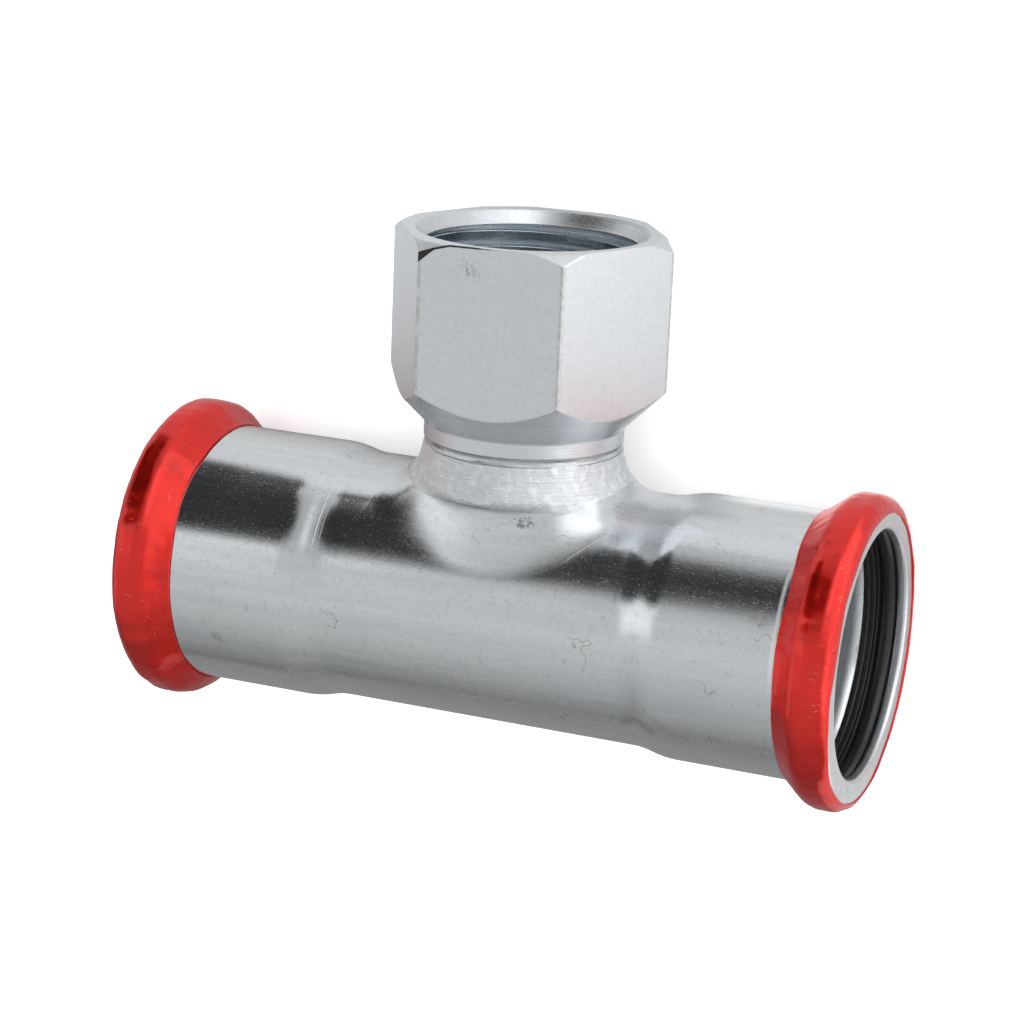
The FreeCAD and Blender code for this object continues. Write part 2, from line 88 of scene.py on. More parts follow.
def joined(*parts):
    """One profile from several, without the points that they share."""
    points = np.concatenate(parts)
    kept = np.concatenate([[True], np.linalg.norm(np.diff(points, axis=0), axis=1) > 1e-4])
    return points[kept]


def quads(index, closed_rows, closed_columns):
    """Faces between neighbouring rows and columns of a grid of vertex numbers."""
    rows, columns = index.shape
    last_row = rows if closed_rows else rows - 1
    last_column = columns if closed_columns else columns - 1
    down = index[:last_row, :last_column]
    right = np.roll(index, -1, 1)[:last_row, :last_column]
    below = np.roll(index, -1, 0)[:last_row, :last_column]
    across = np.roll(np.roll(index, -1, 0), -1, 1)[:last_row, :last_column]
    return np.stack([down, right, across, below], -1).reshape(-1, 4)


def piece(name, points, faces):
    """A closed mesh from points in the fitting's millimetres, with its faces turned outwards."""
    mesh = bpy.data.meshes.new(name)
    mesh.from_pydata(lay(points).tolist(), [], [tuple(face) for face in faces])
    work = bmesh.new()
    work.from_mesh(mesh)
    bmesh.ops.remove_doubles(work, verts=work.verts, dist=2e-6)
    loose = [vertex for vertex in work.verts if not vertex.link_faces]
    bmesh.ops.delete(work, geom=loose, context="VERTS")
    bmesh.ops.recalc_face_normals(work, faces=work.faces)
    work.to_mesh(mesh)
    work.free()
    made = bpy.data.objects.new(name, mesh)
    bpy.context.scene.collection.objects.link(made)
    round_off(mesh)
    return made


def round_off(mesh):
    """Smooth shading in which a wide face keeps its own direction beside a narrow round."""
    mesh.shade_smooth()
    corners = len(mesh.loops)
    faces = len(mesh.polygons)
    owner = np.empty(corners, int)
    mesh.loops.foreach_get("vertex_index", owner)
    count = np.empty(faces, int)
    mesh.polygons.foreach_get("loop_total", count)
    area = np.empty(faces)
    mesh.polygons.foreach_get("area", area)
    facing = np.empty(faces * 3)
    mesh.polygons.foreach_get("normal", facing)
    weighted = np.repeat(facing.reshape(-1, 3) * area[:, None], count, 0)
    normals = np.zeros((len(mesh.vertices), 3))
    np.add.at(normals, owner, weighted)
    normals /= np.maximum(np.linalg.norm(normals, axis=1, keepdims=True), 1e-20)
    mesh.normals_split_custom_set_from_vertices(normals.tolist())


class Signal:
    """One output in a finish's tree. Arithmetic on it adds Math nodes."""

    def __init__(self, socket):
        self.socket = socket
        self.tree = socket.id_data

    def node(self, kind, settings, inputs, output=0):
        """A node of one kind: its settings first, then its inputs' values or links."""
        made = self.tree.nodes.new(kind)
        for name, value in settings.items():
            if name == "stops":
                ramp = made.color_ramp
                while len(ramp.elements) < len(value):
                    ramp.elements.new(0.5)
                for element, (position, colour) in zip(ramp.elements, value):
                    element.position = position
                    element.color = (colour, colour, colour, 1)
            else:
                setattr(made, name, value)
        for name, value in inputs.items():
            if isinstance(value, Signal):
                self.tree.links.new(value.socket, made.inputs[name])
            else:
                made.inputs[name].default_value = value
        return Signal(made.outputs[output])

    def math(self, operation, first, second):
        return self.node("ShaderNodeMath", {"operation": operation}, {0: first, 1: second})

    def __add__(self, other):
        return self.math("ADD", self, other)

    def __radd__(self, other):
        return self.math("ADD", other, self)

    def __sub__(self, other):
        return self.math("SUBTRACT", self, other)

    def __rsub__(self, other):
        return self.math("SUBTRACT", other, self)

    def __mul__(self, other):
        return self.math("MULTIPLY", self, other)

    def __rmul__(self, other):
        return self.math("MULTIPLY", other, self)

    def __truediv__(self, other):
        return self.math("DIVIDE", self, other)

    def __pow__(self, other):
        return self.math("POWER", self, other)

    def highest(self, other):
        return self.math("MAXIMUM", self, other)

    def size(self):
        return self.math("ABSOLUTE", self, 0.0)

    def rise(self, start, stop):
        """0 before start, 1 after stop, smooth between. A falling step has start above stop."""
        falls = start > stop
        return self.node("ShaderNodeMapRange", {"interpolation_type": "SMOOTHSTEP"}, {
            "Value": self, "From Min": min(start, stop), "From Max": max(start, stop),
            "To Min": float(falls), "To Max": float(not falls)})

    def near(self, place, half_width):
        """1 at one value, 0 beyond half a width from it."""
        return (self - place).size().rise(half_width, 0.0)

    def stretched(self, factors):
        """A place with each of its directions scaled."""
        return self.node("ShaderNodeVectorMath", {"operation": "MULTIPLY"}, {0: self, 1: factors})

    def grain(self, scale, detail=2.0, rough=0.5, distortion=0.0):
        """Noise at this place, from 0 to 1 with most of it near 0.5."""
        return self.node("ShaderNodeTexNoise", {"noise_dimensions": "3D"}, {
            "Vector": self, "Scale": scale, "Detail": detail, "Roughness": rough,
            "Distortion": distortion})

    def cells(self, scale):
        """Distance to the nearest of many scattered points."""
        return self.node("ShaderNodeTexVoronoi", {"feature": "F1"}, {
            "Vector": self, "Scale": scale}, "Distance")

    def bearing(self, other):
        """The angle in radians whose sine follows this and whose cosine follows another."""
        return self.math("ARCTAN2", self, other)

    def blend(self, low, high):
        """A colour that goes from low to high as this goes from 0 to 1."""
        low, high = (end if isinstance(end, Signal) else (*end, 1) for end in (low, high))
        return self.node("ShaderNodeMix", {"data_type": "RGBA"}, {0: self, 6: low, 7: high}, 2)

    def parts(self):
        """The three numbers of a place."""
        made = self.tree.nodes.new("ShaderNodeSeparateXYZ")
        self.tree.links.new(self.socket, made.inputs[0])
        return [Signal(output) for output in made.outputs]

    def bump(self, strength, distance, under=None):
        """A normal raised where this is high, over another one."""
        inputs = {"Height": self, "Strength": strength, "Distance": distance}
        if under is not None:
            inputs["Normal"] = under
        return self.node("ShaderNodeBump", {}, inputs)


class Finish:
    """A material with its shader, and the place on the fitting in its own millimetres."""

    def __init__(self, name, **constants):
        self.material = bpy.data.materials.new(name)
        self.material.use_nodes = True
        self.tree = self.material.node_tree
        self.shader = self.tree.nodes["Principled BSDF"]
        for socket, value in constants.items():
            self.shader.inputs[socket.replace("_", " ")].default_value = value
        place = Signal(self.tree.nodes.new("ShaderNodeTexCoord").outputs["Object"])
        turn = Matrix.Rotation(math.pi / 2 + DIP, 3, "X")
        self.place = place.node("ShaderNodeMapping", {"vector_type": "POINT"}, {
            "Vector": place, "Scale": (1 / MM, 1 / MM, 1 / MM),
            "Rotation": (math.pi / 2 + DIP, 0, 0), "Location": turn @ (-RUN_AXIS / MM)})

    def set(self, socket, signal):
        self.tree.links.new(signal.socket, self.shader.inputs[socket])


STEP_TURN = math.degrees(math.asin((STEP_TO - STEP_FROM) / 2 / STEP_ROUND))
FLANK_TURN = 68.3
RUN_BORE, SOCKET_BORE, FACE_AT = RUN - WALL, SOCKET - WALL, MOUTH - WALL
face_edge, mouth_edge = CROWN - LIP, SOCKET_BORE + MOUTH_ROUND
right_outside = joined(
    line((WINDOW_HIGH, RUN), (STEP_FROM, RUN), 1),
    arc(STEP_FROM, RUN + STEP_ROUND, STEP_ROUND, -90, -90 + STEP_TURN, 8),
    arc(STEP_TO, SOCKET - STEP_ROUND, STEP_ROUND, 90 + STEP_TURN, 90, 8),
    line((STEP_TO, SOCKET), (BEAD_FROM, SOCKET), 5),
    arc(BEAD_FROM, SOCKET + BEAD_FOOT, BEAD_FOOT, -90, -90 + FLANK_TURN, 8),
    arc(SHOULDER_AT, CROWN - SHOULDER, SHOULDER, 90 + FLANK_TURN, 90, 12),
    line((SHOULDER_AT, CROWN), (LIP_AT, CROWN), 3),
    arc(LIP_AT, face_edge, LIP, 90, 0, 12),
    line((MOUTH, face_edge), (MOUTH, mouth_edge), 4),
    arc(MOUTH - MOUTH_ROUND, mouth_edge, MOUTH_ROUND, 0, -90, 8))
right_inside = joined(
    line((MOUTH - MOUTH_ROUND, SOCKET_BORE), (FACE_AT, SOCKET_BORE), 2),
    line((FACE_AT, SOCKET_BORE), (FACE_AT, face_edge), 4),
    arc(LIP_AT, face_edge, LIP - WALL, 0, 90, 5),
    line((LIP_AT, CROWN - WALL), (SHOULDER_AT, CROWN - WALL), 2),
    arc(SHOULDER_AT, CROWN - SHOULDER, SHOULDER - WALL, 90, 90 + FLANK_TURN, 6),
    arc(BEAD_FROM, SOCKET + BEAD_FOOT, BEAD_FOOT + WALL, -90 + FLANK_TURN, -90, 8),
    line((BEAD_FROM, SOCKET_BORE), (STEP_TO, SOCKET_BORE), 5),
    arc(STEP_TO, SOCKET - STEP_ROUND, STEP_ROUND - WALL, 90, 90 + STEP_TURN, 6),
    arc(STEP_FROM, RUN + STEP_ROUND, STEP_ROUND + WALL, -90 + STEP_TURN, -90, 6),
    line((STEP_FROM, RUN_BORE), (WINDOW_HIGH, RUN_BORE), 1))
columns = np.linspace(WINDOW_LOW, WINDOW_HIGH, WINDOW_STEPS + 1)
window_outside = np.stack([columns, np.full(len(columns), RUN)], -1)
window_inside = np.stack([columns[::-1], np.full(len(columns), RUN_BORE)], -1)
right_half = joined(right_outside, right_inside)[1:-1]
left_half = right_half[::-1] * (-1, 1)
loop = np.concatenate([window_outside, right_half, window_inside, left_half])
turns = np.arange(AROUND) * 2 * math.pi / AROUND
run_points = np.stack([
    np.repeat(loop[:, 0], AROUND),
    (loop[:, 1:] * np.sin(turns)).ravel(),
    (loop[:, 1:] * np.cos(turns)).ravel()], -1)
run_index = np.arange(len(run_points)).reshape(len(loop), AROUND)
run_faces = quads(run_index, True, True).reshape(len(loop), AROUND, 4)
open_turns = np.arange(-WINDOW_TURN, WINDOW_TURN) % AROUND
inside_start = len(columns) + len(right_half)
keep = np.ones((len(loop), AROUND), bool)
keep[np.ix_(np.arange(WINDOW_STEPS), open_turns)] = False
keep[np.ix_(inside_start + np.arange(WINDOW_STEPS), open_turns)] = False


def window_edge(first_row, direction):
    """Vertex numbers once round the window that the run leaves for the branch."""
    along = np.arange(WINDOW_STEPS + 1)
    rows = first_row + along * direction
    across = np.arange(-WINDOW_TURN, WINDOW_TURN + 1)
    return np.concatenate([
        run_index[rows, -WINDOW_TURN % AROUND],
        run_index[rows[-1], across[1:] % AROUND],
        run_index[rows[::-1], WINDOW_TURN][1:],
        run_index[rows[0], across[::-1] % AROUND][1:-1]])


def branch_rows(edge_points, run_radius, wall, flared):
    """Rows of points from the window's edge over the blend to the end of the collar."""
    bearing = np.arctan2(edge_points[:, 1], edge_points[:, 0] - BRANCH_X)
    outer_blend = BLEND + (WIDE_BLEND - BLEND) * np.abs(np.sin(bearing)) ** 3
    blend = (outer_blend + wall)[:, None]
    ball_run, ball_branch = RUN + outer_blend, COLLAR + outer_blend
    centre = np.stack([BRANCH_X + ball_branch * np.cos(bearing), ball_branch * np.sin(bearing)], -1)
    centre_z = np.sqrt(ball_run ** 2 - centre[:, 1] ** 2)
    to_run = np.arcsin(centre[:, 1] / ball_run)
    rows = []
    edge_turn = np.arctan2(edge_points[:, 1], edge_points[:, 2])
    contact_x = centre[:, 0]
    for share in np.linspace(0, 1, 9)[1:-1]:
        x = edge_points[:, 0] * (1 - share) + contact_x * share
        turn = edge_turn * (1 - share) + to_run * share
        rows.append(np.stack([x, run_radius * np.sin(turn), run_radius * np.cos(turn)], -1))
    down = np.stack([np.zeros_like(to_run), -np.sin(to_run), -np.cos(to_run)], -1)
    inwards = np.stack([-np.cos(bearing), -np.sin(bearing), np.zeros_like(bearing)], -1)
    between = np.arccos(np.clip((down * inwards).sum(1), -1, 1))
    ball = np.column_stack([centre, centre_z])
    for share in np.linspace(0, 1, 29):
        weight_down = np.sin((1 - share) * between) / np.sin(between)
        weight_in = np.sin(share * between) / np.sin(between)
        rows.append(ball + blend * (down * weight_down[:, None] + inwards * weight_in[:, None]))
    foot = rows[-1]
    for share in np.linspace(0, 1, 37 if flared else 9)[1:]:
        row = foot.copy()
        row[:, 2] = foot[:, 2] * (1 - share) + COLLAR_END * share
        rows.append(row)
    rows = np.array(rows)
    if flared:
        out = rows[..., :2] - (BRANCH_X, 0)
        radius = np.linalg.norm(out, axis=-1)
        height = rows[..., 2]
        above = COLLAR + FLARE * (COLLAR_END - height) / (COLLAR_END - FLARE_AT)
        below = COLLAR + FLARE - (FLARE_AT - height) * FLARE_SLOPE
        flare = np.minimum(above, below)
        mixed = np.clip(0.5 + (flare - radius) / (2 * FLARE_SOFT), 0, 1)
        wide = radius * (1 - mixed) + flare * mixed + FLARE_SOFT * mixed * (1 - mixed)
        wide = np.where(height > FLARE_FOOT, wide, radius)
        rows[..., :2] = (BRANCH_X, 0) + out * (wide / radius)[..., None]
    return rows


outer_edge = window_edge(0, 1)
inner_edge = window_edge(inside_start + WINDOW_STEPS, -1)
edge_places = run_points[outer_edge]
outer_rows = branch_rows(edge_places, RUN, 0.0, True)
inner_rows = branch_rows(edge_places, RUN_BORE, WALL, False)
branch_places = np.concatenate([outer_rows, inner_rows[::-1]])
branch_index = len(run_points) + np.arange(branch_places[..., 0].size).reshape(branch_places.shape[:2])
branch_grid = np.concatenate([outer_edge[None], branch_index, inner_edge[None]])
tee_points = np.concatenate([run_points, branch_places.reshape(-1, 3)])
tee_faces = np.concatenate([run_faces[keep], quads(branch_grid, False, True)])
tee_body = piece("tee_body_tube", tee_points, tee_faces)

tube = Finish("zinc_tube", Metallic=1.0)
x, y, z = tube.place.parts()
from_branch = ((x - BRANCH_X) ** 2 + y ** 2) ** 0.5
cloud = tube.place.grain(0.12, 3.0)
fine = tube.place.grain(2.6, 5.0, 0.6)
drawn = tube.place.stretched((0.12, 1.6, 1.6)).grain(3.0, 4.0, 0.65)
ticks = tube.place.stretched((0.6, 2.2, 2.2)).grain(2.2, 2.0).rise(0.66, 0.74)
pits = tube.place.cells(1.1).rise(0.13, 0.05) * tube.place.grain(0.35, 2.0).rise(0.5, 0.62)
dressed = z.rise(17.0, 17.6) * from_branch.rise(16.5, 16.0)
turning = y.bearing(x - BRANCH_X)
lean = turning * 9.0 + (tube.place.grain(0.35, 2.0) - 0.5) * 6.0
brushed = z.node("ShaderNodeTexNoise", {"noise_dimensions": "2D"}, {
    "Vector": z.node("ShaderNodeCombineXYZ", {}, {0: lean * 0.25 + z * 0.35, 1: z * 5.0}),
    "Scale": 1.0, "Detail": 4.0, "Roughness": 0.65, "Distortion": 0.9})
crescents = tube.place.cells(0.42) * 7.0 + tube.place.grain(0.9, 2.0) * 3.0
whorls = crescents.math("SINE", crescents, 0.0) * 0.5 + 0.5
swirl = brushed * 0.55 + whorls * 0.45
blended = from_branch.rise(21.0, 17.0) * z.rise(9.0, 12.0)
right_of_branch = x.rise(14.0, 20.0) * from_branch.rise(31.0, 26.0) * z.rise(13.5, 15.5)
blended = blended.highest(right_of_branch * 1.6)
stain = tube.place.grain(0.22, 4.0, 0.65).rise(0.62, 0.76)
vein = tube.place.grain(0.09, 3.0, 0.6).near(0.5, 0.006)
vein = vein * (tube.place.grain(0.13, 1.0) + x.rise(10.0, 24.0) * 0.08).rise(0.64, 0.70)
flecks = tube.place.stretched((0.9, 1.2, 1.2)).grain(2.6, 5.0, 0.8).rise(0.57, 0.74)
streaks = tube.place.stretched((0.02, 0.6, 0.6)).grain(1.0, 3.0, 0.6)
around = (y ** 2 + z ** 2) ** 0.5
tilt = (0.0 - y).bearing(z) * DEGREES
fold = (tilt - 24.4 - (22.1 - x) * 3.33).near(0.0, 0.75) * x.rise(12.5, 14.5) * x.rise(23.5, 22.0)
# Paler, rougher lines: two rings on the upper part of the left step, and further on one along a fold
# right of the branch.
pale_lines_and_glint = x.near(-24.7, 0.16).highest(x.near(-23.9, 0.12) * 0.7)
pale_lines_and_glint = pale_lines_and_glint * tilt.rise(24.0, 32.0) * tilt.rise(68.0, 58.0)
# Painted highlight: a pale, rough band on the socket just behind the right film's rear edge stands in
# for a glint there.
film_edge_glint = x.near(45.9, 0.5) * tilt.rise(38.0, 46.0) * tilt.rise(100.0, 80.0)
pale_lines_and_glint = pale_lines_and_glint.highest(fold * 0.6).highest(film_edge_glint)
graze = (((x - 7.0) / 1.9) ** 2 + ((z - 15.7) / 1.1) ** 2).rise(1.0, 0.2) * y.rise(-10.0, -12.0)
graze = graze * tube.place.grain(1.6, 4.0, 0.7).rise(0.48, 0.60)
inside = around.rise(18.05, 17.95) * x.size().rise(29.0, 30.0)
bright = cloud.blend((0.62, 0.655, 0.68), (0.71, 0.735, 0.755))
bright = streaks.rise(0.35, 0.65).blend(bright, (0.72, 0.745, 0.76))
bright = tube.place.grain(1.1, 5.0, 0.75).rise(0.50, 0.72).blend(bright, (0.58, 0.60, 0.615))
# Painted reflection: the bore inside each socket is made paler and bluer to stand in for the bright
# light reflected there.
bright = (inside * 0.7).blend(bright, (0.82, 0.84, 0.86))
stained = (stain * 0.5 + vein * 0.7).blend(bright, (0.36, 0.31, 0.27))
brushed_share = dressed * (swirl.rise(0.3, 0.7) * 0.5 + 0.5)
brushed_steel = brushed_share.blend(stained, (0.87, 0.905, 0.925))
# The pale lines and the painted highlight behind the right film lighten the zinc here.
brushed_steel = (pale_lines_and_glint * 0.8).blend(brushed_steel, (0.92, 0.93, 0.935))
tube.set("Base Color", (pits * 0.7).highest(graze * 0.8).blend(brushed_steel, (0.16, 0.15, 0.145)))
worn = 0.15 + (fine - 0.5) * 0.14 + ticks * 0.14 + flecks * 0.24 + (cloud - 0.5) * 0.10
worn = worn + pits * 0.3 + pale_lines_and_glint * 0.3 + (streaks - 0.5) * 0.12
tube.set("Roughness", worn + blended * 0.10 + dressed * 0.20 + inside * 0.22)
lines = drawn.bump(0.12, 0.02 * MM)
scuffs = fine + ticks * 0.4 + flecks * 0.6 - pits - vein + pale_lines_and_glint * 1.5
scuffs = scuffs.bump(0.22, 0.03 * MM, lines)
tube.set("Normal", (swirl * dressed).bump(0.8, 0.22 * MM, scuffs))
tee_body.data.materials.append(tube.material)
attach(tee_body, "root")
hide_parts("tee_body")


# Threaded socket. Turned from drawn hexagon bar and zinc plated: a round neck and a cone
# under the hexagon, corners chamfered at the face, a lead-in chamfer and a 1 inch internal
# pipe thread. It is welded to the collar at its neck.

NECK_BOTTOM, CONE_START, FACE = 24.5, 26.8, 54.7
NECK, NECK_BORE, THREAD_MINOR, THREAD_PITCH = 14.5, 12.6, 15.15, 2.309
THREAD_MAJOR = THREAD_MINOR + 1.479
THREAD_START, THREAD_STOP = 35.5, 53.0
BORE_MIDDLE, BORE_TOP, RELIEF_TOP = 30.0, 34.03, 52.5
APOTHEM, FACE_CIRCLE, LEAD_IN = 18.15, 19.098, 16.7
CORNER_TURN, CORNER_ROUND, EDGE_ROUND = math.radians(4), 0.45, 0.28
CHAMFER_SLOPE = math.tan(math.radians(38))


def hexagon_reach(bearing):
    """Distance from the axis to the hexagon's side, with its corners a little rounded."""
    side = (bearing - CORNER_TURN + math.pi / 6) % (math.pi / 3) - math.pi / 6
    centre = (APOTHEM - CORNER_ROUND) / math.cos(math.pi / 6)
    tangent = math.atan2(CORNER_ROUND / 2, centre + CORNER_ROUND * math.cos(math.pi / 6))
    flat = APOTHEM / np.cos(math.pi / 6 - np.abs(side))
    inner = np.maximum(CORNER_ROUND ** 2 - (centre * np.sin(side)) ** 2, 0)
    return np.where(np.abs(side) < tangent, centre * np.cos(side) + np.sqrt(inner), flat)


def softened(corners, radius):
    """A profile in (out, up) with a small round at each of its inner corners."""
    corners = np.asarray(corners, float)
    points = [corners[0]]
    for before, corner, after in zip(corners[:-2], corners[1:-1], corners[2:]):
        into = (before - corner) / np.linalg.norm(before - corner)
        out = (after - corner) / np.linalg.norm(after - corner)
        shorter = min(np.linalg.norm(before - corner), np.linalg.norm(after - corner))
        reach = min(radius, shorter * 0.45)
        for share in np.linspace(0, 1, 5):
            points.append(corner + into * reach * (1 - share) ** 2 + out * reach * share ** 2)
    points.append(corners[-1])
    return points


side_share = np.concatenate([
    np.linspace(-30, -28.9, 5), np.linspace(-28.9, 28.9, 26)[1:-1], np.linspace(28.9, 30, 5)[:-1]])
bearings = np.concatenate([
    CORNER_TURN + math.radians(30 + 60 * side) + np.radians(side_share) for side in range(6)])
socket_rows = []
for bearing, reach in zip(bearings, hexagon_reach(bearings)):
    profile = softened([
        (NECK_BORE, BORE_MIDDLE),
        (NECK_BORE, NECK_BOTTOM),
        (NECK, NECK_BOTTOM),
        (NECK, CONE_START),
        (reach, CONE_START + reach - NECK),
        (reach, FACE - max(reach - FACE_CIRCLE, 0.02) * CHAMFER_SLOPE),
        (min(FACE_CIRCLE, reach - 0.02), FACE),
        (LEAD_IN, FACE),
        (THREAD_MINOR + 0.1, RELIEF_TOP + 0.1),
        (THREAD_MAJOR, RELIEF_TOP),
        (THREAD_MAJOR, THREAD_START + 1.2),
        (THREAD_MINOR, THREAD_START),
        (NECK_BORE, BORE_TOP),
        (NECK_BORE, BORE_MIDDLE)], EDGE_ROUND)[:-1]
    radius, height = np.array(profile).T
    socket_rows.append(np.stack([
        BRANCH_X + radius * math.cos(bearing), radius * math.sin(bearing), height], -1))
socket_points = np.array(socket_rows)
socket_index = np.arange(socket_points[..., 0].size).reshape(socket_points.shape[:2])
socket_faces = quads(socket_index, True, True)
threaded_socket = piece("threaded_socket_bar", socket_points.reshape(-1, 3), socket_faces)

bar = Finish("zinc_bar", Metallic=1.0)
x, y, z = bar.place.parts()
from_axis = ((x - BRANCH_X) ** 2 + y ** 2) ** 0.5
cone = (z - CONE_START - from_axis + NECK).near(0.0, 0.25) * z.rise(34.0, 33.0)
neck = z.rise(CONE_START + 0.3, CONE_START) * from_axis.rise(13.5, 14.2)
inner = from_axis.rise(17.4, 16.9) * z.rise(30.0, 34.0)
turned = cone.highest(neck).highest(inner)
rings = z.node("ShaderNodeTexNoise", {"noise_dimensions": "1D"}, {
    "W": z + from_axis * 0.4, "Scale": 5.0, "Detail": 4.0, "Roughness": 0.7})
speck = bar.place.grain(6.0, 3.0, 0.7)
dots = bar.place.cells(0.9).rise(0.10, 0.04) * bar.place.grain(0.5, 2.0).rise(0.5, 0.6)
haze = bar.place.grain(0.16, 3.0)
draw_lines = bar.place.stretched((3.0, 3.0, 0.08)).grain(2.0, 3.0, 0.6)
across_flat = (x - BRANCH_X) * math.cos(CORNER_TURN) + y * math.sin(CORNER_TURN)
out_flat = (x - BRANCH_X) * math.sin(CORNER_TURN) - y * math.cos(CORNER_TURN)
front = out_flat.rise(APOTHEM - 0.45, APOTHEM - 0.2)
smudge = ((across_flat + 3.1 + (z - 51.6) * 0.7) / 1.5) ** 2 + ((z - 51.6) / 1.7) ** 2
smudge = smudge.rise(1.0, 0.2) * front * bar.place.grain(1.1, 4.0, 0.7, 1.0).rise(0.46, 0.62)
ragged = bar.place.grain(1.2, 4.0, 0.7)
reach = (across_flat ** 2 + APOTHEM ** 2) ** 0.5
rim = FACE - 0.05 - (reach - FACE_CIRCLE).highest(0.0) * CHAMFER_SLOPE
left_corner = across_flat.rise(-10.8, -10.55)
scale_patch = (z - across_flat * 0.85).rise(60.5, 61.3) * (rim - z).rise(-0.25, -0.05)
scale_patch = scale_patch * across_flat.rise(-7.2, -8.4) * left_corner
rim_line = (z - rim).near(-0.04, 0.26) * across_flat.rise(7.0, -7.0) * left_corner * 1.1
black_scale = ((scale_patch * 1.2).highest(rim_line) * front - ragged * 0.6).rise(0.1, 0.3)
corner = from_axis.rise(20.68, 20.84) * bar.place.grain(0.7, 3.0).rise(0.25, 0.6)
mottle = bar.place.grain(1.4, 4.0, 0.75)
steel = haze.blend((0.70, 0.745, 0.78), (0.78, 0.815, 0.84))
steel = mottle.rise(0.35, 0.7).blend(steel, (0.70, 0.725, 0.74))
steel = speck.rise(0.52, 0.75).blend(steel, (0.62, 0.64, 0.655))
steel = (corner * 0.5).blend(steel, (0.42, 0.40, 0.37))
steel = (smudge * 0.8).blend(steel, (0.30, 0.28, 0.27))
steel = (dots * 0.5).blend(steel, (0.25, 0.24, 0.24))
# Painted reflection: the thread is made darker and bluer to stand in for the dark light reflected
# inside the bore.
threaded = from_axis.rise(16.8, 16.65) * z.rise(34.0, 35.5) * z.rise(52.7, 52.5)
steel = threaded.blend(steel, (0.50, 0.56, 0.61))
torn = (x - BRANCH_X - 9.5).size().rise(7.0, 2.0) * y.rise(4.0, 8.0) * inner
torn = torn * z.rise(52.5, 52.7) * rings.rise(0.50, 0.62)
steel = (torn * 0.85).blend(steel, (0.30, 0.27, 0.25))
bar.set("Base Color", black_scale.blend(steel, (0.065, 0.06, 0.06)))
satin = 0.41 + (speck - 0.5) * 0.16 + (mottle - 0.5) * 0.14 + black_scale * 0.2
bar.set("Roughness", satin - cone.highest(inner) * 0.16 - neck * 0.04)
rolled = (speck * 0.7 + mottle * 0.8 + draw_lines * 0.8) * (1 - turned * 0.9)
flat_bump = rolled.bump(0.30, 0.05 * MM)
bar.set("Normal", (rings * turned).bump(0.6, 0.07 * MM, flat_bump))
threaded_socket.data.materials.append(bar.material)
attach(threaded_socket, "root")
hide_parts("threaded_socket")


# Thread turns. The ridges of the internal pipe thread, cut in the same bar: one helix of
# about seven turns, eleven to the inch, with its crests at the bore that the solids have.

def thread_tree():
    """A tree that sweeps a rounded ridge along a helix, shallow at both of its ends."""
    tree = bpy.data.node_groups.new("thread_turns", "GeometryNodeTree")
    face = tree.interface
    names = {}
    sizes = ("Root radius", "Pitch", "Turns", "Depth", "Crest width", "Root width", "Rounding",
             "Run out")
    for name, kind in [(size, "Float") for size in sizes] + [("Finish", "Material")]:
        made = face.new_socket(name, in_out="INPUT", socket_type="NodeSocket" + kind)
        names[name] = made.identifier
    face.new_socket("Geometry", in_out="OUTPUT", socket_type="NodeSocketGeometry")
    nodes, links = tree.nodes, tree.links

    def add(kind, settings, **inputs):
        made = nodes.new(kind)
        for setting, value in settings.items():
            setattr(made, setting, value)
        for socket, value in inputs.items():
            number = socket[1:]
            socket = made.inputs[int(number) if number.isdigit() else socket.replace("_", " ")]
            if isinstance(value, bpy.types.NodeSocket):
                links.new(value, socket)
            else:
                socket.default_value = value
        return made

    given = add("NodeGroupInput", {}).outputs
    height = add("ShaderNodeMath", {"operation": "MULTIPLY"}, _0=given["Pitch"], _1=given["Turns"])
    helix = add("GeometryNodeCurveSpiral", {}, Resolution=160, Rotations=given["Turns"],
                Height=height.outputs[0], Start_Radius=given["Root radius"],
                End_Radius=given["Root radius"], Reverse=True)
    upright = add("GeometryNodeSetCurveNormal", {"mode": "Z_UP"}, Curve=helix.outputs[0])
    along = add("GeometryNodeSplineParameter", {})
    from_end = add("ShaderNodeMath", {"operation": "PINGPONG"}, _0=along.outputs["Factor"], _1=0.5)
    fading = add("ShaderNodeMapRange", {"interpolation_type": "SMOOTHSTEP"},
                 Value=from_end.outputs[0], From_Min=0.0, From_Max=given["Run out"],
                 To_Min=0.03, To_Max=1.0)
    tapered = add("GeometryNodeSetCurveRadius", {}, Curve=upright.outputs[0], Radius=fading.outputs[0])
    ridge = add("GeometryNodeCurvePrimitiveQuadrilateral", {"mode": "TRAPEZOID"},
                Height=given["Depth"], Bottom_Width=given["Root width"],
                Top_Width=given["Crest width"], Offset=0.0)
    softer = add("GeometryNodeFilletCurve", {"mode": "POLY"}, Curve=ridge.outputs[0], Count=3,
                 Radius=given["Rounding"])
    swept = add("GeometryNodeCurveToMesh", {}, Curve=tapered.outputs[0],
                Profile_Curve=softer.outputs[0], Fill_Caps=True)
    plain = add("GeometryNodeRealizeInstances", {}, Geometry=swept.outputs[0])
    finished = add("GeometryNodeSetMaterial", {}, Geometry=plain.outputs[0], Material=given["Finish"])
    result = nodes.new("NodeGroupOutput")
    links.new(finished.outputs[0], result.inputs[0])
    return tree, names


